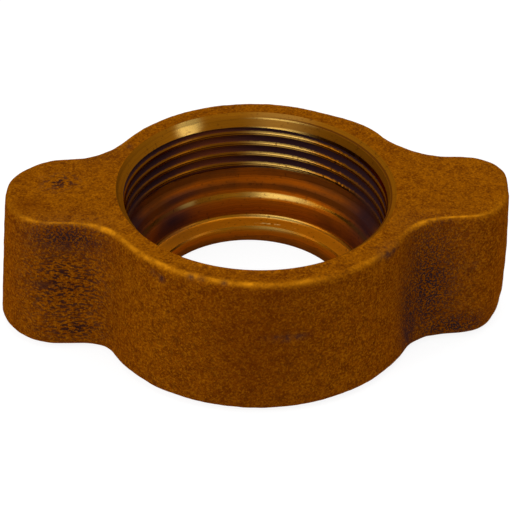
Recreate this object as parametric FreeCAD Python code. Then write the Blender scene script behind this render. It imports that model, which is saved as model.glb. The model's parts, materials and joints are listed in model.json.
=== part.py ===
"""Coupling nut of cast brass with two hammer lugs, a helical inside thread and a stepped seat.

The nut stands on its flanged end. The origin is on the axis at the base, +Z runs up through the
threaded mouth and the lugs point along +X and -X. All sizes are in millimetres and degrees.
"""
import FreeCAD, Part
import math
import os
from FreeCAD import Vector

NODE = "coupling_nut"

# Right-hand thread, with the groove's flat bottom and the flat crest left between two turns
THREAD_DIAMETER = 66.68
PITCH = 25.4 / 8.0
FLANK_ANGLE = 30.0
ROOT_FLAT = PITCH / 8.0
CREST_FLAT = 0.315 * PITCH
THREAD_LENGTH = 12.6
THREAD_START_ANGLE = -98.0

# Mouth above the thread, a steep bevel and a shallow facing cut
BEVEL_DEPTH = 2.5
FACING_DEPTH = 0.3
FACING_WIDTH = 1.0
MOUTH_CLEARANCE = 0.6

# Relief groove behind the thread
RELIEF_CLEARANCE = 0.1
RELIEF_LENGTH = 2.0
RELIEF_RAMP = 1.65

# Stepped seat, bored in line with the crests of the thread
UPPER_SEAT_LENGTH = 1.9
SEAT_STEP = 1.5
SEAT_CONE_HEIGHT = 2.5
LOWER_SEAT_LENGTH = 5.4
SEAT_FILLET = 1.2

# Flange that holds the tail piece
FLANGE_WIDTH = 4.9
FLANGE_THICKNESS = 4.5
BORE_EDGE_BREAK = 0.4

# Cast body, with the ring and the lugs measured at its top
RIM_WIDTH = 5.35
DRAFT_ANGLE = 5.5
LUG_PROJECTION = 21.4
LUG_HALF_WIDTH = 13.7
LUG_END_WIDTH = 4.2
LUG_TAPER = 2.9
LUG_ROOT_RADIUS = 15.0
TOP_EDGE_RADIUS = 1.5
BOTTOM_EDGE_RADIUS = 2.4

# Reach of a cutting tool past the face that it opens
OVERCUT = 0.3

# Radii worked out from the thread outwards and inwards
THREAD_DEPTH = (PITCH - ROOT_FLAT - CREST_FLAT) / (2.0 * math.tan(math.radians(FLANK_ANGLE)))
MAJOR_RADIUS = THREAD_DIAMETER / 2.0
MINOR_RADIUS = MAJOR_RADIUS - THREAD_DEPTH
RELIEF_RADIUS = MAJOR_RADIUS + RELIEF_CLEARANCE
RELIEF_DEPTH = RELIEF_RADIUS - MINOR_RADIUS
MOUTH_RADIUS = MAJOR_RADIUS + MOUTH_CLEARANCE
BEVEL_RADIUS = MOUTH_RADIUS - FACING_WIDTH
LOWER_SEAT_RADIUS = MINOR_RADIUS - SEAT_STEP
FLANGE_BORE_RADIUS = LOWER_SEAT_RADIUS - FLANGE_WIDTH
RING_RADIUS = MOUTH_RADIUS + RIM_WIDTH
LUG_REACH = RING_RADIUS + LUG_PROJECTION
LUG_CORNER_RADIUS = LUG_HALF_WIDTH - LUG_END_WIDTH / 2.0

# Heights worked out from the base upwards
LOWER_SEAT_TOP = FLANGE_THICKNESS + LOWER_SEAT_LENGTH
CONE_TOP = LOWER_SEAT_TOP + SEAT_CONE_HEIGHT
UPPER_SEAT_TOP = CONE_TOP + UPPER_SEAT_LENGTH
RELIEF_BOTTOM = UPPER_SEAT_TOP + RELIEF_RAMP
RELIEF_TOP = RELIEF_BOTTOM + RELIEF_LENGTH
THREAD_BOTTOM = RELIEF_TOP + RELIEF_DEPTH
THREAD_TOP = THREAD_BOTTOM + THREAD_LENGTH
BEVEL_TOP = THREAD_TOP + BEVEL_DEPTH
HEIGHT = BEVEL_TOP + FACING_DEPTH

ORIGIN = Vector(0.0, 0.0, 0.0)
AXIS = Vector(0.0, 0.0, 1.0)


def polar(centre, radius, angle):
    """Point on a circle that lies flat, with the angle in radians."""
    return centre + Vector(radius * math.cos(angle), radius * math.sin(angle), 0.0)


def arc_edge(centre, radius, start, end):
    """Arc that lies flat, from one angle to the other."""
    middle = polar(centre, radius, (start + end) / 2.0)
    return Part.Arc(polar(centre, radius, start), middle, polar(centre, radius, end)).toShape()


def point_beside_lug(offset, taper, reach, z):
    """Point at a distance from the nut's axis, on a line along the side of the +X lug.

    The offset is how far the line passes from the axis along Y, and the taper in radians is how
    fast it falls towards the tip.
    """
    slope = math.tan(taper)
    square = 1.0 + slope * slope
    x = (offset * slope + math.sqrt(square * reach * reach - offset * offset)) / square
    return Vector(x, offset - slope * x, z)


def quarter_outline(growth, z):
    """Edges of the outline at one height, from the side of the ring to the tip of the +X lug.

    The growth is how far the drafted wall stands out from its place at the top of the body.
    """
    ring_radius = RING_RADIUS + growth
    reach = LUG_REACH + growth
    corner_radius = LUG_CORNER_RADIUS + growth
    root_radius = LUG_ROOT_RADIUS - growth
    taper = math.radians(LUG_TAPER)
    side_offset = LUG_HALF_WIDTH + LUG_REACH * math.tan(taper) + growth / math.cos(taper)
    side_normal = math.pi / 2.0 - taper
    axis = Vector(0.0, 0.0, z)

    # The hollow root lies outside the lug's side and the rounded corner inside it
    root_offset = side_offset + root_radius / math.cos(taper)
    root_centre = point_beside_lug(root_offset, taper, ring_radius + root_radius, z)
    root_angle = math.atan2(root_centre.y, root_centre.x)
    corner_offset = side_offset - corner_radius / math.cos(taper)
    corner_centre = point_beside_lug(corner_offset, taper, reach - corner_radius, z)
    corner_angle = math.atan2(corner_centre.y, corner_centre.x)

    ring = arc_edge(axis, ring_radius, math.pi / 2.0, root_angle)
    root = arc_edge(root_centre, root_radius, root_angle + math.pi, side_normal + math.pi)
    side_start = polar(root_centre, root_radius, side_normal + math.pi)
    side_end = polar(corner_centre, corner_radius, side_normal)
    side = Part.makeLine(side_start, side_end)
    corner = arc_edge(corner_centre, corner_radius, side_normal, corner_angle)
    end = arc_edge(axis, reach, corner_angle, 0.0)
    return [ring, root, side, corner, end]


def lugged_outline(growth, z):
    """Closed outline of the body at one height, one quarter and its mirror images."""
    quarter = Part.Wire(quarter_outline(growth, z))
    half = [quarter, quarter.mirror(ORIGIN, Vector(0.0, 1.0, 0.0))]
    whole = half + [wire.mirror(ORIGIN, Vector(1.0, 0.0, 0.0)) for wire in half]
    edges = [edge for wire in whole for edge in wire.Edges]
    return Part.Wire(Part.__sortEdges__(edges))


def edges_at_height(shape, z):
    """Edges of a shape that lie wholly at one height."""
    flat = [edge for edge in shape.Edges if edge.BoundBox.ZLength < 1e-4]
    return [edge for edge in flat if abs(edge.BoundBox.ZMin - z) < 1e-4]


def cast_body():
    """Drafted ring with its two lugs, rounded along the top and bottom edges."""
    growth = HEIGHT * math.tan(math.radians(DRAFT_ANGLE))
    outlines = [lugged_outline(growth, 0.0), lugged_outline(0.0, HEIGHT)]
    body = Part.makeLoft(outlines, True, True)
    body = body.makeFillet(TOP_EDGE_RADIUS, edges_at_height(body, HEIGHT))
    body = body.makeFillet(BOTTOM_EDGE_RADIUS, edges_at_height(body, 0.0))
    return body.Solids[0]


def profile_lines(points):
    """Straight edges through points given as radius and height."""
    return Part.makePolygon([Vector(radius, 0.0, z) for radius, z in points]).Edges


def turned_space():
    """The space that is turned out of the casting, without the thread's groove."""
    fillet_top = FLANGE_THICKNESS + SEAT_FILLET
    fillet_inner = LOWER_SEAT_RADIUS - SEAT_FILLET
    through_bore = profile_lines([
        (0.0, -OVERCUT),
        (FLANGE_BORE_RADIUS, -OVERCUT),
        (FLANGE_BORE_RADIUS, FLANGE_THICKNESS - BORE_EDGE_BREAK),
        (FLANGE_BORE_RADIUS + BORE_EDGE_BREAK, FLANGE_THICKNESS),
        (fillet_inner, FLANGE_THICKNESS),
    ])
    seat_to_mouth = profile_lines([
        (LOWER_SEAT_RADIUS, fillet_top),
        (LOWER_SEAT_RADIUS, LOWER_SEAT_TOP),
        (MINOR_RADIUS, CONE_TOP),
        (MINOR_RADIUS, UPPER_SEAT_TOP),
        (RELIEF_RADIUS, RELIEF_BOTTOM),
        (RELIEF_RADIUS, RELIEF_TOP),
        (MINOR_RADIUS, THREAD_BOTTOM),
        (MINOR_RADIUS, THREAD_TOP),
        (BEVEL_RADIUS, BEVEL_TOP),
        (MOUTH_RADIUS, HEIGHT),
        (MOUTH_RADIUS, HEIGHT + OVERCUT),
        (0.0, HEIGHT + OVERCUT),
        (0.0, -OVERCUT),
    ])
    reach = SEAT_FILLET * math.sqrt(0.5)
    fillet_middle = Vector(fillet_inner + reach, 0.0, fillet_top - reach)
    fillet_ends = Vector(fillet_inner, 0.0, FLANGE_THICKNESS), Vector(LOWER_SEAT_RADIUS, 0.0, fillet_top)
    seat_fillet = Part.Arc(fillet_ends[0], fillet_middle, fillet_ends[1]).toShape()
    outline = Part.Wire(through_bore + [seat_fillet] + seat_to_mouth)
    return Part.Face(outline).revolve(ORIGIN, AXIS, 360.0)


def groove_turn(start):
    """One turn of the thread's groove, a right-hand helix that starts at the given height."""
    inner_radius = MINOR_RADIUS - OVERCUT
    half_root = ROOT_FLAT / 2.0
    half_mouth = half_root + (MAJOR_RADIUS - inner_radius) * math.tan(math.radians(FLANK_ANGLE))
    profile = Part.makePolygon([
        Vector(inner_radius, 0.0, start - half_mouth),
        Vector(MAJOR_RADIUS, 0.0, start - half_root),
        Vector(MAJOR_RADIUS, 0.0, start + half_root),
        Vector(inner_radius, 0.0, start + half_mouth),
        Vector(inner_radius, 0.0, start - half_mouth),
    ])
    helix = Part.makeHelix(PITCH, PITCH, MINOR_RADIUS)
    helix.translate(Vector(0.0, 0.0, start))
    groove = Part.Wire(helix).makePipeShell([profile], True, True)
    groove.rotate(ORIGIN, AXIS, THREAD_START_ANGLE)
    return groove


def cut_thread(nut):
    """Cut the helical groove turn by turn, from the middle of the relief to clear of the mouth."""
    start = (RELIEF_BOTTOM + RELIEF_TOP) / 2.0
    turns = math.ceil((HEIGHT + PITCH - start) / PITCH)
    for turn in range(turns):
        nut = nut.cut(groove_turn(start + turn * PITCH))
    return nut


def main():
    """Cast, bore and thread the nut, and write it out."""
    nut = cut_thread(cast_body().cut(turned_space()))
    os.makedirs("parts", exist_ok=True)
    nut.exportStep(os.path.join("parts", NODE + ".step"))


main()
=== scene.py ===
"""A coupling nut of cast brass with two hammer lugs, shown as a used casting with a turned inside.

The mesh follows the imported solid, with a deeper facing cut, a larger seat fillet and a thread that
ends flat at the foot of the bevel. It adds the bends, the dents and the uneven skin of the casting,
and the torn crests of its thread. Driving lengths are in millimetres and driving angles in degrees.
"""

import json
import math

import bmesh
import bpy
import numpy as np
from mathutils import Matrix, Vector, noise


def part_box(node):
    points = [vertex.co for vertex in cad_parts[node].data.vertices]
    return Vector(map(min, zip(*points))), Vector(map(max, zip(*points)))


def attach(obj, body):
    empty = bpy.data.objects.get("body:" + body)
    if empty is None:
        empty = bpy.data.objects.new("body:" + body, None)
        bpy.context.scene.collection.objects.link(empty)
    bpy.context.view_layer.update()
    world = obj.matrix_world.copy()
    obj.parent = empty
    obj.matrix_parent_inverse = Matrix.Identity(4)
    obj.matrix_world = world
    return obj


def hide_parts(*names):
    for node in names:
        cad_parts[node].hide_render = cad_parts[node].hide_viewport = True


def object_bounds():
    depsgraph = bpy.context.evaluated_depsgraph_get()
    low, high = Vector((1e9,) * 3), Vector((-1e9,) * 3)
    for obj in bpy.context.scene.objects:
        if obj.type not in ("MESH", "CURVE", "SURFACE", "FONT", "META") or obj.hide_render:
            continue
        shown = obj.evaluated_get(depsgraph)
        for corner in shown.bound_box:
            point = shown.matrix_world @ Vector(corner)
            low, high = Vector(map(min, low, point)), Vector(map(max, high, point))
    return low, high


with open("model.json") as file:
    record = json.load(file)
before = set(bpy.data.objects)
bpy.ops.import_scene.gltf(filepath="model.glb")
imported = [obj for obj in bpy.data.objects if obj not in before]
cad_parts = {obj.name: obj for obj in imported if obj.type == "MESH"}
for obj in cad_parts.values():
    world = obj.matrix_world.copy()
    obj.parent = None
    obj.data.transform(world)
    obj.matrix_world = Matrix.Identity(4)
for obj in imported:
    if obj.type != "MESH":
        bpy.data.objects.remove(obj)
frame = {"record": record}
CAD_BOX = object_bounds()

NODE = "coupling_nut"
MM = 0.001
MOUNTS = {mount["name"]: mount for mount in frame["record"]["mounts"]}


def height_of(name):
    """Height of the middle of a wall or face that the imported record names."""
    return MOUNTS[name]["pos_m"][2] / MM


def length_of(name):
    """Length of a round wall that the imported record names."""
    return MOUNTS[name]["dims"]["length_mm"]


def radius_of(name):
    """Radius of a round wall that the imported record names."""
    return MOUNTS[name]["dims"]["r_mm"]


# Turned inside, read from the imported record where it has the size
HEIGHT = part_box(NODE)[1].z / MM
MINOR_RADIUS = radius_of("thread")
THREAD_BOTTOM = height_of("thread") - length_of("thread") / 2.0
THREAD_TOP = height_of("thread") + length_of("thread") / 2.0
SEAT_RADIUS = radius_of("collar_bore")
SEAT_TOP = height_of("collar_bore") + length_of("collar_bore") / 2.0
BORE_RADIUS = radius_of("flange_bore")
FLANGE_TOP = height_of("collar_seat")
BORE_EDGE = FLANGE_TOP - length_of("flange_bore")
SEAT_FILLET = 1.7
SEAT_CONE_HEIGHT = 2.5
UPPER_SEAT_LENGTH = 1.9
RELIEF_RAMP = 1.65
RELIEF_LENGTH = 2.0
RELIEF_CLEARANCE = 0.1
MOUTH_CLEARANCE = 0.6
FACING_DEPTH = 0.95
FACING_WIDTH = 1.0

# Right-hand thread of eight turns per inch, with a flat at the bottom of its groove
PITCH = 25.4 / 8.0
ROOT_FLAT = PITCH / 8.0
HALF_ROOT = ROOT_FLAT / 2.0
THREAD_START_ANGLE = -98.0
FLANK_ANGLE = 30.0
MAJOR_RADIUS = 33.34

# Radii and heights worked out from these
RELIEF_RADIUS = MAJOR_RADIUS + RELIEF_CLEARANCE
MOUTH_RADIUS = MAJOR_RADIUS + MOUTH_CLEARANCE
BEVEL_RADIUS = MOUTH_RADIUS - FACING_WIDTH
BEVEL_TOP = HEIGHT - FACING_DEPTH
CONE_TOP = SEAT_TOP + SEAT_CONE_HEIGHT
UPPER_SEAT_TOP = CONE_TOP + UPPER_SEAT_LENGTH
RELIEF_BOTTOM = UPPER_SEAT_TOP + RELIEF_RAMP
RELIEF_TOP = RELIEF_BOTTOM + RELIEF_LENGTH

# Height of a turned circle and its centre along X and Y, a little off the middle of the casting
CIRCLES = [
    (0.0, -1.0, 0.0),
    (FLANGE_TOP, -0.5, 0.0),
    (THREAD_TOP, -0.38, 0.0),
    (BEVEL_TOP, -0.95, 0.0),
    (HEIGHT, -0.45, 0.2),
]

# Outline of the cast body at its top, and the draft that widens it towards the base
RING_RADIUS = 39.29
LUG_REACH = 60.69
LUG_HALF_WIDTH = 13.7
LUG_CORNER_RADIUS = 11.6
LUG_ROOT_RADIUS = 15.0
LUG_TAPER = 2.9
DRAFT_ANGLE = 5.5
TOP_EDGE_RADIUS = 1.5
BOTTOM_EDGE_RADIUS = 2.4

# Fineness of the mesh: columns round the nut, and rows for each stretch of the section
COLUMNS = 660
TOP_ROWS = 16
WALL_ROWS = 34
EDGE_ROWS = 6
BASE_ROWS = 6
TURNED_STEP = 1.5

# Rows for each turn of the thread: those of the groove, and shares of the crest for the others
GROOVE_ROWS = 5
CREST_PARTS = (0.0, 0.18, 0.38, 0.62, 0.82)
ROWS_PER_PITCH = GROOVE_ROWS + len(CREST_PARTS)

# Shares of the bevel's height at which it has rows, and the share of the facing for one above the lip
LIP_SHARE = 0.12
BEVEL_SHARES = (0.3, 0.6, 1.0 - LIP_SHARE, 1.0)

# Steps per column in measuring the outline, and halvings in finding where a flank ends
SAMPLES_PER_COLUMN = 20
HALVINGS = 30

# Turns made past the thread's ends, and the share of a gap over which a row is drawn to a corner
SPARE_TURNS = 2
SNAP_SHARE = 0.25

# Distance at which two points are one, and angle between faces at which their edge is sharp
TOUCH = 0.001
CREASE_ANGLE = 25.0

# Unevenness of the cast skin, how far from the mouth it is whole, and its share on the base
SWELL_DEPTH = 0.22
SWELL_SIZE = 14.0
RIPPLE_DEPTH = 0.16
RIPPLE_SIZE = 3.2
FADE_WIDTH = 1.2
BASE_BAND = 0.01
BASE_SHARE = 0.3

# Worn rim: its place and width, where it grows along Y, and where it fades along X
RIM_INSET = TOP_EDGE_RADIUS / 3.0
WORN_WIDTH = 0.75
WORN_BACK = 0.0
WORN_FRONT = -12.0
WORN_REACH = 46.0

# Wear left at the back, wear lost at the lugs' ends, and how patchy it is
BACK_WEAR = 0.35
END_LOSS = 0.7
WEAR_LEVEL = 0.85
WEAR_SWING = 0.9
WEAR_SIZE = 5.0

# Crests of the thread, rounded by wear and torn along their edges on one side of the mouth
CREST_SETBACKS = (0.23, 0.07, 0.0, 0.01, 0.09)
TEARS = 60.0
SMOOTH_TEARS = 0.15
TORN_ANGLE = 40.0
TORN_WIDTH = 25.0

# Where the thread ends: height on the axis, drop per length along +X, and height of the paint's change
RUN_OUT = THREAD_TOP - 0.44
RUN_OUT_TILT = 0.03
RUN_OUT_BLEND = 0.4

# Heights from the base up, and how dark the turned metal is there: partly oxide, partly painted shade on
# the upright walls, the relief and the bore
TARNISH_AND_SHADE = [
    (0.0, 0.9),
    (2.0, 0.75),
    (2.6, 0.45),
    (FLANGE_TOP, 0.15),
    (FLANGE_TOP + 0.5 * SEAT_FILLET, 0.15),
    (FLANGE_TOP + 0.7 * SEAT_FILLET, 0.6),
    (SEAT_TOP, 0.45),
    (SEAT_TOP + 0.8, 0.0),
    (CONE_TOP - 0.6, 0.1),
    (CONE_TOP + 0.3, 0.9),
    (UPPER_SEAT_TOP, 0.85),
    (RELIEF_BOTTOM - 0.8, 0.5),
    (RELIEF_BOTTOM + 0.2, 0.8),
    (RELIEF_TOP, 0.85),
    (RELIEF_TOP + 0.3, 0.15),
    (RUN_OUT, 0.15),
    (RUN_OUT + RUN_OUT_BLEND, 0.05),
]

# How much darker it is at the sides, as painted shade, where that grows along X, and up to which height
SIDE_SHADE = 0.5
SIDE_START = 8.0
SIDE_END = 24.0
SIDE_TOP = RELIEF_TOP + 0.3

# Dents in the cast skin, each with its depth, its middle and its reach along X, Y and Z
DENTS = [
    (0.45, ((-17.2, -35.1, 34.7), (0.9, 0.9, 0.7))),
    (0.40, ((-15.0, -35.9, 34.7), (0.8, 0.8, 0.7))),
    (0.40, ((-9.8, -37.8, 34.7), (0.8, 0.8, 0.7))),
    (0.40, ((-23.9, -31.6, 31.5), (1.0, 1.0, 0.8))),
    (0.35, ((-25.6, -30.1, 32.1), (0.8, 0.8, 0.7))),
    (0.40, ((-31.3, 18.7, 34.9), (0.8, 0.8, 0.8))),
    (0.35, ((51.7, -15.3, 21.4), (0.9, 0.9, 0.9))),
    (0.30, ((4.8, -40.4, 20.8), (4.0, 1.5, 0.8))),
    (0.30, ((-51.4, -15.6, 17.7), (4.5, 1.5, 0.9))),
]
DENT_SPOTS = [spot for depth, spot in DENTS]

# Places where the skin is densely pitted or streaked, and painted shade in the right lug's root, each
# with its reach
PITTED = [
    ((40.0, -17.5, 16.0), (8.0, 6.0, 18.0)),
    ((47.0, -17.0, 4.0), (11.0, 5.0, 4.0)),
    ((35.5, -21.5, 11.0), (5.0, 4.5, 14.0)),
    ((-46.0, -15.5, 31.0), (10.0, 5.0, 4.0)),
    ((-41.0, 17.0, 15.0), (8.0, 6.0, 16.0)),
]
STREAKED = [
    ((-46.5, -16.0, 18.0), (11.0, 5.0, 13.0)),
    ((-45.0, -17.0, 6.0), (9.0, 5.0, 4.0)),
    ((46.0, 16.0, 16.0), (7.0, 5.0, 10.0)),
    ((-48.0, 3.0, 35.0), (4.0, 3.5, 2.0)),
]
ROOT_SHADE_SPOTS = [
    ((29.0, -26.9, 34.2), (3.0, 3.0, 1.0)),
    ((35.0, -22.2, 6.0), (3.0, 3.0, 5.0)),
]

# Places inside with painted shade, places with painted highlights, and where the painted shade in the
# grooves is brown
SHADE_SPOTS = [
    ((-29.0, 10.0, 16.0), (6.0, 8.0, 10.0)),
    ((-20.0, 22.0, 8.5), (8.0, 7.0, 3.5)),
    ((-19.0, 26.0, 13.6), (7.0, 6.0, 1.0)),
    ((29.0, 12.0, 15.0), (5.0, 8.0, 9.0)),
]
HIGHLIGHT_SPOTS = [
    ((8.0, 31.0, 20.0), (9.5, 10.0, 40.0)),
    ((-16.0, 28.0, 34.0), (4.0, 6.0, 3.0)),
    ((-17.0, 26.5, 11.5), (2.6, 5.0, 2.0)),
]
WARM_SHADE_SPOTS = [((-11.0, 29.5, 25.0), (9.0, 8.0, 12.0))]

# Places where the skin is browner: painted shade on the front wall and below its rim, and a brown spot
# on top of one lug
SHADE_AND_BROWN_SPOTS = [
    ((-2.0, -40.0, 19.0), (14.0, 8.0, 22.0)),
    ((0.0, -39.4, 32.2), (20.0, 6.0, 1.8)),
    ((-55.0, -7.1, 35.0), (4.0, 3.0, 2.0)),
]

# Places where the rim isn't worn bright
UNWORN = [
    ((30.5, -25.0, 34.5), (8.0, 10.0, 4.0)),
    ((17.0, -35.5, 34.5), (7.0, 5.0, 4.0)),
]

# Places where the casting is out of true, each with its shift along X and Y, its middle and reach
WARPS = [
    ((1.45, -0.8), ((-57.0, 12.0, 28.0), (9.0, 7.0, 30.0))),
    ((0.0, -0.45), ((-46.0, 14.0, 28.0), (11.0, 6.0, 30.0))),
    ((-0.1, 0.0), ((-62.0, -5.0, 8.0), (5.0, 10.0, 12.0))),
    ((0.0, -0.6), ((-50.0, -17.0, 4.0), (9.0, 6.0, 8.0))),
    ((0.0, 1.0), ((-37.0, -20.0, 4.0), (4.0, 5.0, 8.0))),
    ((-0.3, -0.5), ((-27.0, -32.0, 4.0), (10.0, 8.0, 10.0))),
    ((0.0, -0.4), ((-5.0, -40.0, 5.0), (28.0, 6.0, 14.0))),
    ((0.15, -0.3), ((26.0, -33.0, 4.0), (10.0, 8.0, 10.0))),
    ((-0.6, 0.0), ((62.0, -6.0, 9.0), (6.0, 12.0, 7.0))),
    ((-1.6, 0.3), ((61.0, -8.0, 2.0), (6.0, 9.0, 4.0))),
    ((0.0, 0.5), ((52.0, -16.0, 2.0), (8.0, 5.0, 4.0))),
    ((1.2, 0.3), ((60.0, 6.0, 33.0), (6.0, 7.0, 8.0))),
    ((0.0, -1.75), ((49.0, 15.0, 28.0), (7.0, 6.0, 30.0))),
    ((0.3, 0.9), ((37.0, 19.0, 28.0), (5.0, 6.0, 30.0))),
    ((0.8, 1.3), ((29.0, 26.0, 28.0), (9.0, 7.0, 30.0))),
    ((0.0, 0.3), ((0.0, 39.0, 34.0), (25.0, 6.0, 14.0))),
]

# Colours of the cast skin, in linear light: the top colour is painted light on up-facing faces, the side
# colour painted shade on upright ones
SHADED_SIDE_COLOUR = (0.168, 0.041, 0.0004)
LIT_TOP_COLOUR = (0.212, 0.062, 0.0008)
CAST_BROWN = (0.070, 0.012, 0.0004)
CAST_RED = (0.050, 0.009, 0.0012)
CAST_LIGHT = (0.30, 0.100, 0.002)
CAST_DARK = (0.014, 0.010, 0.014)
STREAK_BROWN = (0.022, 0.007, 0.006)
WORN_GOLD = (0.48, 0.175, 0.004)
CAST_METALLIC = 0.3
CAST_EDGE_TINT = (1.0, 0.5, 0.08, 1.0)

# Sizes of what shows in the cast skin, and the depth of its grain
TINT_SIZE = 16.0
CLUMP_SIZE = 2.4
LOOSE_SIZE = 1.1
GRAIN_SIZE = 0.55
RED_SIZE = 0.5
PIT_SIZE = 0.44
STREAK_SIZE = 0.45
STREAK_STRETCH = (3.0, 2.0, 1.0)
GRAIN_DEPTH = 0.2

# Colours of the turned metal, in linear light
TURNED_OLIVE = (0.180, 0.062, 0.002)
TURNED_GOLD = (0.230, 0.085, 0.004)
# Painted highlight colour
HIGHLIGHT_GOLD = (0.310, 0.185, 0.042)
CREST_BROWN = (0.080, 0.024, 0.001)
# Painted light on the up-facing flange
LIT_FLANGE_GOLD = (0.520, 0.160, 0.003)
TURNED_BROWN = (0.260, 0.055, 0.001)
TURNED_DARK = (0.110, 0.027, 0.003)
FACED_OLIVE = (0.175, 0.060, 0.002)
SPECK = (0.060, 0.015, 0.002)
# Painted shade in the thread's grooves and at the inside's sides, and a browner version of it
GROOVE_SHADE = (0.032, 0.012, 0.014)
GROOVE_WARM_SHADE = (0.120, 0.028, 0.010)
TURNED_EDGE_TINT = (1.0, 0.5, 0.1, 1.0)

# Rings left by the tool: lines per millimetre, share across a level face, drift, its size, and depth
FINE_RINGS = 7.0
COARSE_RINGS = 2.2
RINGS_ACROSS = 1.7
RING_DRIFT = 0.5
DRIFT_SIZE = 4.0
RING_DEPTH = 0.004

# Sizes of what shows in the turned metal
TURNED_TINT_SIZE = 6.0
SPECK_SIZE = 0.9
BITE_SIZE = 0.5

# Row of burrs on the flange, shown as painted glints
BURR_GLINT = (0.85, 0.55, 0.16)
BURR_RADIUS = 27.0
BURR_WIDTH = 0.35
BURR_SIZE = 0.8

# Painted shadow line above the bevel's lip and painted highlight band below it, and where each changes
# along X
LINE_HEIGHT = 0.18
LINE_START = 0.0
LINE_END = 20.0
LIP_HEIGHT = 0.25
DULL_START = -12.0
DULL_END = -6.0

# Pale floor and white surroundings
FLOOR_SIZE = 8000.0
FLOOR_LIT = 0.8
FLOOR_SHADE = 0.2
FLOOR_GLOW = 0.86
WORLD_LIGHT = 0.38

# Lamps: name, direction from the nut, distance, width and height, radiance
LAMPS = [
    ("overhead_lamp", (0.1, 0.25, 1.0), 620.0, (500.0, 500.0), 3.0),
    ("right_lamp", (0.80, -0.34, 0.54), 600.0, (210.0, 280.0), 2.4),
    ("front_lamp", (-0.46, -0.88, 0.52), 600.0, (360.0, 380.0), 2.5),
    ("left_lamp", (-0.80, -0.36, 0.60), 600.0, (280.0, 280.0), 4.2),
]

# Camera of the photograph, with its aim on the nut's axis and its distance from there
PICTURE_WIDTH = 512
FOCAL_PIXELS = 1450.0
SENSOR_WIDTH = 36.0
CAMERA_TURN = 4.286
CAMERA_ELEVATION = 36.84
CAMERA_ROLL = 1.616
CAMERA_DISTANCE = 363.8
CAMERA_AIM = (-0.07, 0.0, 13.62)
CLIP_START = 10.0


def ray_to_circle(angle, centre, radius, side):
    """Distance from the axis to a circle along each angle, to its near or far side."""
    distance = np.hypot(centre[0], centre[1])
    turn = angle - np.arctan2(centre[1], centre[0])
    across = np.sqrt(np.maximum(radius**2 - (distance * np.sin(turn)) ** 2, 0.0))
    return distance * np.cos(turn) + side * across


def beside_lug(offset, slope, reach):
    """Point at a distance from the axis, on the line y = offset - slope * x."""
    square = 1.0 + slope * slope
    x = (offset * slope + math.sqrt(square * reach * reach - offset * offset)) / square
    return x, offset - slope * x


def outline_radius(angle, growth):
    """Distance from the axis to the lugged outline, grown outwards by the draft.

    The outline is a ring arc, a hollow root, the side of the lug, a rounded corner and an end arc,
    and the rest is its mirror images.
    """
    folded = np.arctan2(np.abs(np.sin(angle)), np.abs(np.cos(angle)))
    taper = math.radians(LUG_TAPER)
    slope = math.tan(taper)
    offset = LUG_HALF_WIDTH + LUG_REACH * slope + growth / math.cos(taper)
    root_radius = LUG_ROOT_RADIUS - growth
    corner_radius = LUG_CORNER_RADIUS + growth
    ring = RING_RADIUS + growth
    reach = LUG_REACH + growth
    root = beside_lug(offset + root_radius / math.cos(taper), slope, ring + root_radius)
    corner = beside_lug(offset - corner_radius / math.cos(taper), slope, reach - corner_radius)
    side_start = (root[0] - root_radius * math.sin(taper), root[1] - root_radius * math.cos(taper))
    side_end = (corner[0] + corner_radius * math.sin(taper), corner[1] + corner_radius * math.cos(taper))
    turns = [math.atan2(point[1], point[0]) for point in (corner, side_end, side_start, root)]
    return np.select(
        [folded < turns[0], folded < turns[1], folded < turns[2], folded < turns[3]],
        [
            np.full_like(folded, reach),
            ray_to_circle(folded, corner, corner_radius, 1.0),
            offset / (np.sin(folded) + slope * np.cos(folded)),
            ray_to_circle(folded, root, root_radius, -1.0),
        ],
        ring,
    )


def column_angles():
    """Angles of the columns in radians, evenly spaced along the outline."""
    fine = np.linspace(0.0, 2.0 * math.pi, SAMPLES_PER_COLUMN * COLUMNS + 1)
    radius = outline_radius(fine, 0.0)
    steps = np.hypot(np.diff(radius * np.cos(fine)), np.diff(radius * np.sin(fine)))
    length = np.concatenate([[0.0], np.cumsum(steps)])
    return np.interp(np.arange(COLUMNS) * length[-1] / COLUMNS, length, fine)


ANGLES = column_angles()


def off_centre(radius, z):
    """Distance from the nut's axis, in every column, to a turned circle at a height."""
    heights, along_x, along_y = zip(*CIRCLES)
    centre = np.interp(z, heights, along_x), np.interp(z, heights, along_y)
    return ray_to_circle(ANGLES, centre, radius, 1.0)


def fillet_points(centre, radius, start, end, count):
    """Points of a rounded edge in the section, from one angle to the other."""
    turns = np.radians(np.linspace(start, end, count))
    return [(centre[0] + radius * math.cos(turn), centre[1] + radius * math.sin(turn)) for turn in turns]


def stepped(points, step):
    """The points of a section with more between them, no further apart than the step."""
    result = [points[0]]
    for start, end in zip(points, points[1:]):
        count = max(1, math.ceil(math.dist(start, end) / step))
        for part in range(1, count + 1):
            result.append(tuple(a + (b - a) * part / count for a, b in zip(start, end)))
    return result


def turned_below_thread():
    """Radius and height along the turned inside, from the base up to the end of the relief."""
    fillet = fillet_points(
        (SEAT_RADIUS - SEAT_FILLET, FLANGE_TOP + SEAT_FILLET), SEAT_FILLET, -90.0, 0.0, EDGE_ROWS
    )
    flange = [
        (BORE_RADIUS, 0.0),
        (BORE_RADIUS, FLANGE_TOP - BORE_EDGE),
        (BORE_RADIUS + BORE_EDGE, FLANGE_TOP),
    ]
    seat = [
        (SEAT_RADIUS, SEAT_TOP),
        (MINOR_RADIUS, CONE_TOP),
        (MINOR_RADIUS, UPPER_SEAT_TOP),
        (RELIEF_RADIUS, RELIEF_BOTTOM),
        (RELIEF_RADIUS, RELIEF_TOP),
    ]
    below = stepped(flange + fillet[:1], TURNED_STEP)
    above = stepped(fillet[-1:] + seat, TURNED_STEP)
    return below + fillet[1:-1] + above


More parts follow.
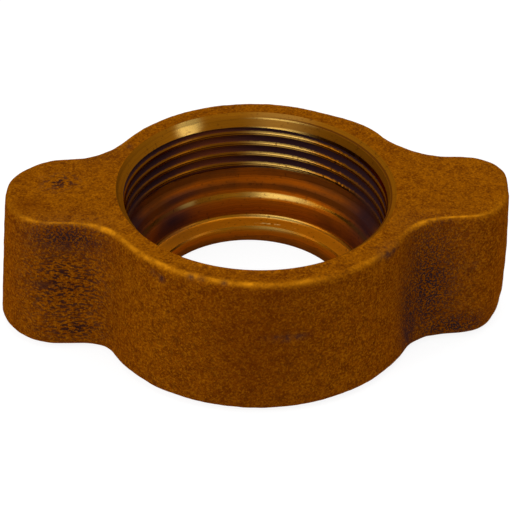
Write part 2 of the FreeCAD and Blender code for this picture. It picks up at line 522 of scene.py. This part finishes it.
def turned_radius(z):
    """Radius of the turned inside from the end of the relief to the top of the bevel."""
    heights = [RELIEF_TOP, THREAD_BOTTOM, THREAD_TOP, BEVEL_TOP]
    return np.interp(z, heights, [RELIEF_RADIUS, MINOR_RADIUS, MINOR_RADIUS, BEVEL_RADIUS])


def groove_radius(z, centre):
    """Radius of the thread's groove at a height, for the groove centred at another."""
    beyond = np.maximum(np.abs(z - centre) - HALF_ROOT, 0.0)
    return MAJOR_RADIUS - beyond / math.tan(math.radians(FLANK_ANGLE))


def flank_end(centre, side):
    """Height at which a flank of the groove meets the turned wall, above or below the root."""
    inner = centre + side * HALF_ROOT
    outer = inner + side * PITCH / 2.0
    for _ in range(HALVINGS):
        middle = (inner + outer) / 2.0
        cut = groove_radius(middle, centre) > turned_radius(middle)
        inner = np.where(cut, middle, inner)
        outer = np.where(cut, outer, middle)
    return inner


def snap(rows, levels):
    """Moves the rows that lie on the crest nearest to a corner of the turned section onto it."""
    crests = [row for row in range(len(rows)) if row % ROWS_PER_PITCH > GROOVE_ROWS]
    for level in levels:
        for row in crests:
            below = rows[row - 1]
            above = rows[min(row + 1, len(rows) - 1)]
            near = np.abs(rows[row] - level) < (above - below) * SNAP_SHARE
            rows[row] = np.where(near, level, rows[row])


def thread_heights():
    """Height of every row of the threaded zone in every column, before it is cut off at its ends."""
    first = (RELIEF_BOTTOM + RELIEF_TOP) / 2.0 - PITCH * THREAD_START_ANGLE / 360.0
    first -= PITCH * (math.ceil((first - RELIEF_TOP) / PITCH) + SPARE_TURNS)
    count = math.ceil((BEVEL_TOP - first) / PITCH) + SPARE_TURNS
    centres = [first + PITCH * (turn + ANGLES / (2.0 * math.pi)) for turn in range(count)]
    lower = [flank_end(centre, -1.0) for centre in centres]
    upper = [flank_end(centre, 1.0) for centre in centres]
    rows = []
    for turn in range(count - 1):
        low_root = centres[turn] - HALF_ROOT
        high_root = centres[turn] + HALF_ROOT
        rows += [lower[turn], (lower[turn] + low_root) / 2.0, low_root]
        rows += [high_root, (high_root + upper[turn]) / 2.0]
        rows += [upper[turn] + (lower[turn + 1] - upper[turn]) * part for part in CREST_PARTS]
    snap(rows, [THREAD_BOTTOM, THREAD_TOP])
    return np.array(rows), np.array(centres)


def inside_radius(z, centres):
    """Radius of the threaded zone at a height in every column, grooves included."""
    radius = turned_radius(z)
    for centre in centres:
        radius = np.maximum(radius, groove_radius(z, centre))
    return radius


def torn_share(angles):
    """How torn the crests are at angles in radians, from 0 to 1."""
    away = (np.degrees(angles) - TORN_ANGLE) / TORN_WIDTH
    return np.exp(-away**2)


def crest_rounding(rows):
    """How far each row is set back so that the crests are round, unevenly where the tool tore them."""
    depths = np.zeros(ROWS_PER_PITCH)
    depths[GROOVE_ROWS:] = CREST_SETBACKS
    depths[0] = CREST_SETBACKS[0]
    setback = []
    for turn in range(rows // ROWS_PER_PITCH):
        travel = TEARS * (2.0 * math.pi * turn + ANGLES)
        tears = np.array([noise.noise(Vector((place, 0.0, 0.0))) for place in travel])
        setback.append(depths[:, None] * (1.0 + tears * (SMOOTH_TEARS + torn_share(ANGLES))))
    return np.concatenate(setback)


def run_out():
    """Height in every column at which the thread ends, at the foot of the bevel."""
    return RUN_OUT - RUN_OUT_TILT * MINOR_RADIUS * np.cos(ANGLES)


def thread_surface():
    """Radius, height and depth below the turned wall of every row of the threaded zone.

    The radius and the height of the edge at its upper end come with them.
    """
    heights, centres = thread_heights()
    end = run_out()
    inside = np.clip(heights, RELIEF_TOP, end)
    radius = inside_radius(inside, centres)
    depth = radius - turned_radius(inside)
    radius = radius + crest_rounding(len(heights))
    return off_centre(radius, inside), heights, depth, off_centre(turned_radius(end), end), end


def outer_section():
    """Growth and height along the drafted wall, from the top face to the base."""
    slope = math.radians(DRAFT_ANGLE)
    top_growth = TOP_EDGE_RADIUS * (math.sin(slope) - 1.0) / math.cos(slope)
    base_growth = HEIGHT * math.tan(slope)
    base_growth -= BOTTOM_EDGE_RADIUS * (math.sin(slope) + 1.0) / math.cos(slope)
    top = fillet_points(
        (top_growth, HEIGHT - TOP_EDGE_RADIUS), TOP_EDGE_RADIUS, 90.0, DRAFT_ANGLE, EDGE_ROWS
    )
    bottom = fillet_points(
        (base_growth, BOTTOM_EDGE_RADIUS), BOTTOM_EDGE_RADIUS, DRAFT_ANGLE, -90.0, EDGE_ROWS
    )
    step = math.dist(top[-1], bottom[0]) / WALL_ROWS
    return top[:-1] + stepped([top[-1], bottom[0]], step) + bottom[1:]


class Surface:
    """Rows of points round the nut, joined into one closed skin."""

    def __init__(self):
        self.points = []
        self.sunk = []
        self.rows = []
        self.seams = []
        self.turned = []

    def add_points(self, radius, z, sunk, used):
        """Adds a point in each column that is used, and returns the points' numbers."""
        first = len(self.points)
        x = (radius * np.cos(ANGLES))[used]
        y = (radius * np.sin(ANGLES))[used]
        self.points += list(zip(x, y, np.broadcast_to(z, ANGLES.shape)[used]))
        self.sunk += list(np.broadcast_to(sunk, ANGLES.shape)[used])
        return np.arange(first, len(self.points))

    def add_row(self, radius, z, turned):
        """Adds a row that closes on itself."""
        row = self.add_points(radius, z, 0.0, np.full(COLUMNS, True))
        self.rows.append(row)
        self.seams.append(row[0])
        self.turned.append(turned)

    def add_thread(self, radius, heights, depth, edge, end):
        """Adds the rows that climb one pitch in a turn, cut off flat at both ends."""
        bottom = self.rows[-1]
        top = self.add_points(edge, end, 0.0, np.full(COLUMNS, True))
        numbers = []
        for row_radius, row_height, row_depth in zip(radius, heights, depth):
            inside = (row_height > RELIEF_TOP) & (row_height < end)
            row = np.where(row_height <= RELIEF_TOP, bottom, top)
            row[inside] = self.add_points(row_radius, row_height, row_depth, inside)
            numbers.append(row)
        climbed = numbers[ROWS_PER_PITCH:] + [top] * ROWS_PER_PITCH
        self.rows += numbers + [top]
        self.seams += [row[0] for row in climbed + [top]]
        self.turned += [True] * (len(numbers) + 1)

    def faces(self):
        """Faces between neighbouring rows, and whether each is turned metal."""
        faces = []
        turned = []
        count = len(self.rows)
        for place in range(count):
            after = (place + 1) % count
            low = np.append(self.rows[place], self.seams[place])
            high = np.append(self.rows[after], self.seams[after])
            both = self.turned[place] and self.turned[after]
            for corners in zip(low[:-1], high[:-1], high[1:], low[1:]):
                kept = [corner for at, corner in enumerate(corners) if corner != corners[at - 1]]
                if len(kept) > 2:
                    faces.append([int(corner) for corner in kept])
                    turned.append(both)
        return faces, turned


def mouth_rows():
    """Radius and height of every row over the bevel and the facing, with two close to the lip."""
    end = run_out()
    edge = off_centre(turned_radius(end), end)
    lip = off_centre(BEVEL_RADIUS, BEVEL_TOP)
    mouth = off_centre(MOUTH_RADIUS, HEIGHT)
    rows = [
        (edge + (lip - edge) * share, end + (BEVEL_TOP - end) * share) for share in BEVEL_SHARES
    ]
    rows.append((lip + (mouth - lip) * LIP_SHARE, BEVEL_TOP + FACING_DEPTH * LIP_SHARE))
    rows.append((mouth, HEIGHT))
    return rows


def nut_surface():
    """The whole skin: up the inside, over the top, down the wall and back under the base."""
    surface = Surface()
    for radius, z in turned_below_thread():
        surface.add_row(off_centre(radius, z), z, turned=True)
    surface.add_thread(*thread_surface())
    for radius, z in mouth_rows():
        surface.add_row(radius, z, turned=True)
    mouth = off_centre(MOUTH_RADIUS, HEIGHT)
    section = outer_section()
    rim = outline_radius(ANGLES, section[0][0])
    for part in range(1, TOP_ROWS + 1):
        surface.add_row(mouth + (rim - mouth) * part / (TOP_ROWS + 1), HEIGHT, turned=False)
    for growth, z in section:
        surface.add_row(outline_radius(ANGLES, growth), z, turned=False)
    edge = outline_radius(ANGLES, section[-1][0])
    bore = off_centre(BORE_RADIUS, 0.0)
    for part in range(BASE_ROWS, 0, -1):
        surface.add_row(bore + (edge - bore) * part / (BASE_ROWS + 1), 0.0, turned=False)
    return surface


def smooth(value, low, high):
    """Rises smoothly from 0 at the low end to 1 at the high end."""
    part = np.clip((value - low) / (high - low), 0.0, 1.0)
    return part * part * (3.0 - 2.0 * part)


def noise_field(points, size, octaves):
    """Soft random field between about -1 and 1, with features of the given size."""
    scaled = points / size
    return np.array([noise.fractal(Vector(point), 1.0, 2.0, octaves) for point in scaled])


def patch_field(points, patches):
    """Soft spots with the value 1 at their middles, each with its reach along X, Y and Z."""
    field = np.zeros(len(points))
    for middle, reach in patches:
        away = ((points - np.array(middle)) / np.array(reach)) ** 2
        field = np.maximum(field, np.exp(-away.sum(axis=1)))
    return field


def rim_distance(points):
    """How far each point is from the outer edge of the top face."""
    angle = np.arctan2(points[:, 1], points[:, 0])
    radius = np.hypot(points[:, 0], points[:, 1])
    return np.hypot(radius - outline_radius(angle, -RIM_INSET), points[:, 2] - HEIGHT)


def read_vectors(collection, name):
    """A vector of every member of a mesh's collection, as rows of an array."""
    values = np.zeros(len(collection) * 3)
    collection.foreach_get(name, values)
    return values.reshape(-1, 3)


def uneven_depth(points, size, octaves, lift):
    """Uneven depth, about 0 to 1 on a level face and half as much both ways on an upright one."""
    return 0.5 + 0.5 * noise_field(points, size, octaves) - 0.5 * lift


def roughen(mesh, points, cast):
    """Moves the cast skin unevenly off the form of the solid.

    The top face only sinks, the wall moves both ways, and nothing leaves the box of the solid.
    """
    normals = read_vectors(mesh.vertex_normals, "vector")
    lift = 1.0 - np.abs(normals[:, 2])
    depth = SWELL_DEPTH * uneven_depth(points, SWELL_SIZE, 2, lift)
    depth += RIPPLE_DEPTH * uneven_depth(points, RIPPLE_SIZE, 3, lift)
    depth += sum(deepest * patch_field(points, [spot]) for deepest, spot in DENTS)
    radius = np.hypot(points[:, 0], points[:, 1])
    free = smooth(radius, MOUTH_RADIUS, MOUTH_RADIUS + FADE_WIDTH) * cast
    depth *= free * np.where(points[:, 2] < BASE_BAND, BASE_SHARE, 1.0)
    moved = points - normals * depth[:, None]
    for shift, spot in WARPS:
        moved[:, :2] += np.outer(free * patch_field(points, [spot]), shift)
    mesh.vertices.foreach_set("co", np.clip(moved * MM, CAD_BOX[0], CAD_BOX[1]).ravel())


def rim_wear(points):
    """How worn the outer edge of the top face is, in patches and mostly along the front."""
    worn = np.exp(-(rim_distance(points) / WORN_WIDTH) ** 2)
    worn *= BACK_WEAR + (1.0 - BACK_WEAR) * smooth(points[:, 1], WORN_BACK, WORN_FRONT)
    worn *= 1.0 - END_LOSS * smooth(np.abs(points[:, 0]), WORN_REACH, LUG_REACH)
    worn *= 1.0 - patch_field(points, UNWORN + DENT_SPOTS)
    return worn * (WEAR_LEVEL + WEAR_SWING * noise_field(points, WEAR_SIZE, 2))


def tarnish_and_shade_share(points):
    """How dark the turned metal is, by height and more at the sides below the thread: oxide together
    with painted shade.
    """
    heights, shares = zip(*TARNISH_AND_SHADE)
    aside = smooth(np.abs(points[:, 0]), SIDE_START, SIDE_END) * (points[:, 2] < SIDE_TOP)
    return np.interp(points[:, 2], heights, shares) * (1.0 + SIDE_SHADE * aside)


def store_paint(mesh, points, cast, sunk):
    """Stores how worn, marked or darkened every point of the skin is, with its painted shade and painted
    highlights, from 0 to 1.
    """
    cast_values = {
        "worn": rim_wear(points),
        "pitted": patch_field(points, PITTED),
        "streaked": patch_field(points, STREAKED),
        "stained": patch_field(points, DENT_SPOTS + ROOT_SHADE_SPOTS),
        "browned": patch_field(points, SHADE_AND_BROWN_SPOTS),
    }
    turned_values = {
        "sooty": patch_field(points, SHADE_SPOTS),
        "polished": patch_field(points, HIGHLIGHT_SPOTS),
        "warm": patch_field(points, WARM_SHADE_SPOTS),
        "torn": torn_share(np.arctan2(points[:, 1], points[:, 0])),
        "tarnished": tarnish_and_shade_share(points),
    }
    values = {"sunk": np.array(sunk) / (MAJOR_RADIUS - MINOR_RADIUS)}
    values.update({name: value * cast for name, value in cast_values.items()})
    values.update({name: value * (1.0 - cast) for name, value in turned_values.items()})
    for name, value in values.items():
        attribute = mesh.attributes.new(name, "FLOAT", "POINT")
        attribute.data.foreach_set("value", np.clip(value, 0.0, 1.0))


def join_touching(mesh):
    """Joins points that lie on each other, as where the thread starts and its groove has no flank."""
    skin = bmesh.new()
    skin.from_mesh(mesh)
    bmesh.ops.remove_doubles(skin, verts=skin.verts, dist=TOUCH * MM)
    skin.to_mesh(mesh)
    skin.free()


def make_nut():
    """The nut as one mesh object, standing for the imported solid."""
    surface = nut_surface()
    faces, turned = surface.faces()
    cast = np.ones(len(surface.points))
    for row, flag in zip(surface.rows, surface.turned):
        cast[row] = 0.0 if flag else 1.0
    mesh = bpy.data.meshes.new("nut_skin")
    mesh.from_pydata((np.array(surface.points) * MM).tolist(), [], faces)
    mesh.update()
    points = read_vectors(mesh.vertices, "co") / MM
    roughen(mesh, points, cast)
    store_paint(mesh, points, cast, surface.sunk)
    mesh.materials.append(cast_skin())
    mesh.materials.append(turned_metal())
    mesh.polygons.foreach_set("material_index", [int(flag) for flag in turned])
    mesh.polygons.foreach_set("use_smooth", [True] * len(faces))
    join_touching(mesh)
    mesh.set_sharp_from_angle(angle=math.radians(CREASE_ANGLE))
    mesh.update()
    nut = bpy.data.objects.new("cast_nut", mesh)
    bpy.context.scene.collection.objects.link(nut)
    return nut


class Nodes:
    """Shading nodes of a material or the surroundings, linked as they are added."""

    def __init__(self, owner):
        owner.use_nodes = True
        self.tree = owner.node_tree
        self.tree.nodes.clear()

    def join(self, value, socket):
        """Links a socket to an input, or sets the input to a value."""
        if isinstance(value, bpy.types.NodeSocket):
            self.tree.links.new(value, socket)
        else:
            socket.default_value = value

    def add(self, kind, inputs=None, **settings):
        """Adds a node, with each input either linked to a socket or set to a value."""
        node = self.tree.nodes.new(kind)
        for name, value in settings.items():
            setattr(node, name, value)
        for name, value in (inputs or {}).items():
            self.join(value, node.inputs[name])
        return node

    def math(self, operation, first, second=0.0):
        """Arithmetic on two values."""
        return self.add("ShaderNodeMath", {0: first, 1: second}, operation=operation).outputs[0]

    def largest(self, first, *others):
        """The largest of some values."""
        for other in others:
            first = self.math("MAXIMUM", first, other)
        return first

    def seen_white(self):
        """1 for rays from the camera and for mirrored or transmitted ones, and 0 for the rest."""
        rays = self.add("ShaderNodeLightPath").outputs
        return self.largest(rays["Is Camera Ray"], rays["Is Glossy Ray"], rays["Is Transmission Ray"])


class Shader(Nodes):
    """Shading of one material of the nut, with places in millimetres."""

    def __init__(self, name):
        self.material = bpy.data.materials.new(name)
        super().__init__(self.material)
        surface = self.add("ShaderNodeTexCoord").outputs
        scale = {0: surface["Object"], "Scale": 1.0 / MM}
        self.place = self.add("ShaderNodeVectorMath", scale, operation="SCALE").outputs[0]
        self.upward = self.add("ShaderNodeSeparateXYZ", {0: surface["Normal"]}).outputs[2]

    def turned_place(self):
        """Place along X, distance from the nut's axis, and height."""
        axes = self.add("ShaderNodeSeparateXYZ", {0: self.place}).outputs
        level = self.add("ShaderNodeCombineXYZ", {0: axes[0], 1: axes[1]}).outputs[0]
        distance = self.add("ShaderNodeVectorMath", {0: level}, operation="LENGTH").outputs["Value"]
        return axes[0], distance, axes[2]

    def plus(self, first, second):
        """Sum of two values."""
        return self.math("ADD", first, second)

    def minus(self, first, second):
        """The first value less the second."""
        return self.math("SUBTRACT", first, second)

    def times(self, first, second):
        """Product of two values."""
        return self.math("MULTIPLY", first, second)

    def attribute(self, name):
        """A value stored in the mesh."""
        return self.add("ShaderNodeAttribute", attribute_name=name).outputs["Fac"]

    def noise(self, size, detail=2.0, roughness=0.5, stretch=(1.0, 1.0, 1.0)):
        """Noise with features of the given size in millimetres, stretched along X, Y and Z."""
        scale = [1.0 / (size * part) for part in stretch]
        place = self.add("ShaderNodeMapping", {"Vector": self.place, "Scale": scale}).outputs[0]
        inputs = {"Vector": place, "Scale": 1.0, "Detail": detail, "Roughness": roughness}
        return self.add("ShaderNodeTexNoise", inputs).outputs["Fac"]

    def rings(self, travel, lines, detail):
        """Noise along one length, with so many lines per millimetre."""
        inputs = {"W": travel, "Scale": lines, "Detail": detail}
        return self.add("ShaderNodeTexNoise", inputs, noise_dimensions="1D").outputs["Fac"]

    def band(self, value, low, high, start=0.0, end=1.0):
        """Maps a value smoothly from one range to another."""
        inputs = {"Value": value, "From Min": low, "From Max": high, "To Min": start, "To Max": end}
        return self.add("ShaderNodeMapRange", inputs, interpolation_type="SMOOTHSTEP").outputs[0]

    def near(self, value, middle, width, most=1.0):
        """The most within half a width of the middle, and 0 from a whole width on."""
        away = self.math("ABSOLUTE", self.minus(value, middle))
        return self.band(away, width / 2.0, width, most, 0.0)

    def mix(self, factor, first, second):
        """Blends two colours, each a socket or red, green and blue."""
        node = self.add("ShaderNodeMix", data_type="RGBA")
        self.join(factor, node.inputs[0])
        # The inputs 6 and 7 and the output 2 are those for colours
        for colour, socket in ((first, node.inputs[6]), (second, node.inputs[7])):
            self.join(colour if isinstance(colour, bpy.types.NodeSocket) else (*colour, 1.0), socket)
        return node.outputs[2]

    def layered(self, body, layers):
        """Lays colours over a body one after the other, each with how much of it shows."""
        for share, colour in layers:
            body = self.mix(share, body, colour)
        return body

    def finish(self, colour, metallic, roughness, edge_tint, height, depth):
        """Adds the fine relief, the surface and the output, and returns the material."""
        relief = {"Height": height, "Distance": depth * MM, "Strength": 1.0}
        surface = {
            "Base Color": colour,
            "Metallic": metallic,
            "Roughness": roughness,
            "Normal": self.add("ShaderNodeBump", relief).outputs[0],
            "Specular IOR Level": 0.0,
            "Specular Tint": edge_tint,
        }
        metal = self.add("ShaderNodeBsdfPrincipled", surface).outputs[0]
        self.add("ShaderNodeOutputMaterial", {"Surface": metal})
        return self.material


def dark_marks_and_root_shade(shader, clumps):
    """How dark the cast skin is where it is pitted or streaked, in its dents, and with painted shade in
    the right lug's root.
    """
    spots = shader.noise(PIT_SIZE, 1.0)
    streaks = shader.noise(STREAK_SIZE, 2.0, 0.5, STREAK_STRETCH)
    pitted = shader.times(shader.band(spots, 0.46, 0.57), shader.attribute("pitted"))
    streaked = shader.times(shader.band(streaks, 0.50, 0.58), shader.attribute("streaked"))
    stained = shader.times(shader.band(clumps, 0.40, 0.60, 0.25, 0.9), shader.attribute("stained"))
    return shader.largest(pitted, streaked, stained)


def cast_skin():
    """Sand-cast brass: grainy and brown, darker in its pits and golden where the edges are worn, with
    painted light on its top faces and painted shade on its walls.
    """
    shader = Shader("cast_skin")
    grain = shader.noise(GRAIN_SIZE, 3.0, 0.6)
    clumps = shader.noise(CLUMP_SIZE, 3.0, 0.6)
    tint = shader.noise(TINT_SIZE, 2.0)
    red = shader.noise(RED_SIZE, 1.0)
    loose = shader.noise(LOOSE_SIZE, 1.0)
    dark = dark_marks_and_root_shade(shader, clumps)
    # Painted light and shade: lighter where the skin faces up, darker on upright walls
    level = shader.plus(shader.upward, shader.band(tint, 0.3, 0.7, -0.25, 0.25))
    # Painted shade on the front wall and under its rim, a brown spot on one lug, and darker pitted
    # places
    browned = shader.times(shader.attribute("browned"), 0.5)
    browned = shader.largest(browned, shader.times(shader.attribute("pitted"), 0.35))
    worn = shader.times(shader.band(clumps, 0.35, 0.6, 0.35, 1.0), shader.attribute("worn"))
    body = shader.mix(shader.band(level, 0.1, 0.9), SHADED_SIDE_COLOUR, LIT_TOP_COLOUR)
    body = shader.layered(body, [
        (shader.band(clumps, 0.30, 0.75, 0.0, 0.7), CAST_BROWN),
        (shader.band(grain, 0.42, 0.70, 0.0, 0.7), CAST_LIGHT),
        (shader.band(red, 0.50, 0.64, 0.0, 0.4), CAST_RED),
        (browned, CAST_BROWN),
        (shader.band(loose, 0.60, 0.70, 0.0, 0.5), CAST_RED),
        (dark, shader.mix(shader.attribute("streaked"), CAST_DARK, STREAK_BROWN)),
        (worn, WORN_GOLD),
    ])
    height = shader.minus(grain, shader.times(dark, 0.8))
    rough = shader.band(grain, 0.3, 0.7, 0.62, 0.46)
    return shader.finish(body, CAST_METALLIC, rough, CAST_EDGE_TINT, height, GRAIN_DEPTH)


def tool_marks(shader, radius, height):
    """Fine and coarse rings left by the tool, along the section of the turned inside."""
    along = shader.plus(shader.times(radius, RINGS_ACROSS), height)
    drift = shader.band(shader.noise(DRIFT_SIZE, 2.0), 0.2, 0.8, 0.0, RING_DRIFT)
    fine = shader.rings(along, FINE_RINGS, 2.0)
    coarse = shader.rings(shader.plus(along, drift), COARSE_RINGS, 3.0)
    return fine, coarse


def darkened_metal(shader, tint, tarnished):
    """Colour of the turned metal without its marks, darkened by oxide and painted shade, and how brown
    it is.
    """
    # Painted shade and oxide together, by height and more at the sides
    darkening = shader.plus(tarnished, shader.band(tint, 0.2, 0.8, -0.12, 0.12))
    brown = shader.band(darkening, 0.1, 0.5)
    body = shader.mix(shader.band(tint, 0.3, 0.7), TURNED_OLIVE, TURNED_GOLD)
    body = shader.mix(brown, body, TURNED_BROWN)
    return shader.mix(shader.band(darkening, 0.5, 1.0), body, TURNED_DARK), brown


def highlight_patches(shader, x, z, fine, beyond, tarnished):
    """Where the turned metal gets a painted highlight: in streaky spots, and in a band below the lip."""
    streaky = shader.plus(shader.attribute("polished"), shader.band(fine, 0.3, 0.7, -0.15, 0.15))
    streaky = shader.band(streaky, 0.2, 0.8)
    spot_highlight = shader.times(streaky, shader.band(tarnished, 0.2, 0.35, 1.0, 0.0))
    faded = shader.band(x, DULL_START, DULL_END, 1.0, 0.25)
    spared = shader.largest(shader.minus(1.0, beyond), faded)
    lip = shader.near(z, BEVEL_TOP - LIP_HEIGHT / 2.0, LIP_HEIGHT)
    return shader.largest(shader.times(spot_highlight, spared), shader.times(lip, streaky))


def flange_burr_glints(shader, radius, flat):
    """Broken row of burrs on the flange with painted glints, inside the painted highlight spots."""
    row = shader.near(radius, BURR_RADIUS, BURR_WIDTH)
    broken = shader.band(shader.noise(BURR_SIZE, 1.0), 0.50, 0.60)
    polished = shader.band(shader.attribute("polished"), 0.3, 0.7)
    return shader.times(shader.times(row, broken), shader.times(flat, polished))


def groove_and_side_shade(shader, tint):
    """How much painted shade the grooves and the shaded places inside get, with a ragged edge where the
    crests are torn.
    """
    ragged = shader.band(shader.noise(BITE_SIZE, 2.0), 0.3, 0.7, -1.0, 1.0)
    bite = shader.times(ragged, shader.band(shader.attribute("torn"), 0.0, 1.0, 0.04, 0.10))
    groove = shader.band(shader.plus(shader.attribute("sunk"), bite), 0.12, 0.30)
    sooty = shader.times(shader.attribute("sooty"), shader.band(tint, 0.2, 0.6, 0.7, 1.0))
    return shader.largest(groove, sooty)


def turned_metal():
    """Uncoated turned brass with fine rings from the tool, dull and with painted shade in the thread's
    grooves, with painted highlights in places and painted shade on its walls.
    """
    shader = Shader("turned_metal")
    x, radius, z = shader.turned_place()
    fine, coarse = tool_marks(shader, radius, z)
    tint = shader.noise(TURNED_TINT_SIZE, 3.0)
    specks = shader.noise(SPECK_SIZE, 2.0)
    tarnished = shader.attribute("tarnished")
    flat = shader.band(shader.upward, 0.85, 0.95)
    beyond = shader.band(z, RUN_OUT, RUN_OUT + RUN_OUT_BLEND)
    threaded = shader.band(z, RELIEF_TOP, RELIEF_TOP + RUN_OUT_BLEND, 0.0, 0.8)
    highlight = highlight_patches(shader, x, z, fine, beyond, tarnished)
    # Painted shadow line in the crease above the bevel's lip
    line = shader.near(z, BEVEL_TOP + LINE_HEIGHT, LINE_HEIGHT, 0.8)
    line = shader.times(line, shader.band(x, LINE_START, LINE_END, 0.2, 1.0))
    dark = groove_and_side_shade(shader, tint)
    body, brown = darkened_metal(shader, tint, tarnished)
    body = shader.layered(body, [
        (shader.times(beyond, 0.9), FACED_OLIVE),
        (shader.minus(threaded, beyond), CREST_BROWN),
        (shader.band(coarse, 0.48, 0.70, 0.0, 0.4), SPECK),
        # Painted highlights in streaky spots and below the lip
        (highlight, HIGHLIGHT_GOLD),
        # Painted light: the up-facing flange is lighter
        (flat, LIT_FLANGE_GOLD),
        (shader.band(specks, 0.60, 0.72, 0.0, 0.6), SPECK),
        (flange_burr_glints(shader, radius, flat), BURR_GLINT),
        (line, SPECK),
        # Painted shade in the thread's grooves and at the inside's sides, browner in one place
        (dark, shader.mix(shader.attribute("warm"), GROOVE_SHADE, GROOVE_WARM_SHADE)),
    ])
    faced = shader.times(beyond, shader.band(highlight, 0.0, 1.0, 0.55, 0.1))
    dull = shader.largest(shader.times(brown, 0.55), shader.times(flat, 0.75), faced, line)
    dull = shader.largest(dull, shader.times(dark, 0.75))
    rough = shader.plus(shader.band(tint, 0.3, 0.7, 0.24, 0.18), shader.times(dull, 0.35))
    return shader.finish(body, shader.minus(1.0, dull), rough, TURNED_EDGE_TINT, fine, RING_DEPTH)


def grey(level):
    """A grey, in linear light."""
    return level, level, level, 1.0


def pale_floor():
    """White floor that still shows the shadow of the nut."""
    material = bpy.data.materials.new("pale_floor")
    nodes = Nodes(material)
    lit = nodes.add("ShaderNodeBsdfDiffuse", {"Color": grey(FLOOR_LIT)}).outputs[0]
    dim = nodes.add("ShaderNodeBsdfDiffuse", {"Color": grey(FLOOR_SHADE)}).outputs[0]
    glow = nodes.add("ShaderNodeEmission", {"Color": grey(FLOOR_GLOW)}).outputs[0]
    pale = nodes.add("ShaderNodeAddShader", {0: dim, 1: glow}).outputs[0]
    mixed = nodes.add("ShaderNodeMixShader", {0: nodes.seen_white(), 1: lit, 2: pale}).outputs[0]
    nodes.add("ShaderNodeOutputMaterial", {"Surface": mixed})
    return material


def make_floor():
    """Plain floor under the nut."""
    half = FLOOR_SIZE * MM / 2.0
    corners = [(-half, -half, 0.0), (half, -half, 0.0), (half, half, 0.0), (-half, half, 0.0)]
    mesh = bpy.data.meshes.new("floor")
    mesh.from_pydata(corners, [], [(0, 1, 2, 3)])
    mesh.materials.append(pale_floor())
    floor = bpy.data.objects.new("floor", mesh)
    bpy.context.scene.collection.objects.link(floor)


def make_world():
    """White surroundings, seen in full by the camera and in the metal, and softer as a light."""
    world = bpy.data.worlds.new("studio")
    nodes = Nodes(world)
    soft = nodes.add("ShaderNodeBackground", {"Color": grey(1.0), "Strength": WORLD_LIGHT}).outputs[0]
    white = nodes.add("ShaderNodeBackground", {"Color": grey(1.0), "Strength": 1.0}).outputs[0]
    mixed = nodes.add("ShaderNodeMixShader", {0: nodes.seen_white(), 1: soft, 2: white}).outputs[0]
    nodes.add("ShaderNodeOutputWorld", {"Surface": mixed})
    bpy.context.scene.world = world


def make_lamp(name, direction, distance, size, radiance):
    """Soft rectangular lamp that faces the nut, with its brightness as a plain radiance."""
    data = bpy.data.lights.new(name, "AREA")
    data.shape = "RECTANGLE"
    data.size = size[0] * MM
    data.size_y = size[1] * MM
    data.energy = radiance * math.pi * data.size * data.size_y
    lamp = bpy.data.objects.new(name, data)
    towards = Vector(direction).normalized()
    lamp.location = (Vector((0.0, 0.0, HEIGHT / 2.0)) + towards * distance) * MM
    lamp.rotation_mode = "QUATERNION"
    lamp.rotation_quaternion = towards.to_track_quat("Z", "Y")
    lamp.visible_camera = False
    bpy.context.scene.collection.objects.link(lamp)


def make_camera():
    """Camera at the photograph's place."""
    turn = math.radians(CAMERA_TURN)
    tilt = math.radians(CAMERA_ELEVATION)
    roll = math.radians(CAMERA_ROLL)
    forward = Vector((math.sin(turn) * math.cos(tilt), math.cos(turn) * math.cos(tilt), -math.sin(tilt)))
    level = Vector((math.cos(turn), -math.sin(turn), 0.0))
    upright = level.cross(forward)
    right = math.cos(roll) * level + math.sin(roll) * upright
    up = -math.sin(roll) * level + math.cos(roll) * upright
    place = (Vector(CAMERA_AIM) - CAMERA_DISTANCE * forward) * MM
    data = bpy.data.cameras.new("camera")
    data.sensor_width = SENSOR_WIDTH
    data.lens = SENSOR_WIDTH * FOCAL_PIXELS / PICTURE_WIDTH
    data.clip_start = CLIP_START * MM
    camera = bpy.data.objects.new("camera", data)
    axes = Matrix((right, up, -forward)).transposed()
    camera.matrix_world = Matrix.Translation(place) @ axes.to_4x4()
    bpy.context.scene.collection.objects.link(camera)
    bpy.context.scene.camera = camera


nut = make_nut()
make_camera()
make_floor()
make_world()
for lamp in LAMPS:
    make_lamp(*lamp)
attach(nut, "root")
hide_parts(NODE)
bpy.context.scene.view_settings.view_transform = "Standard"
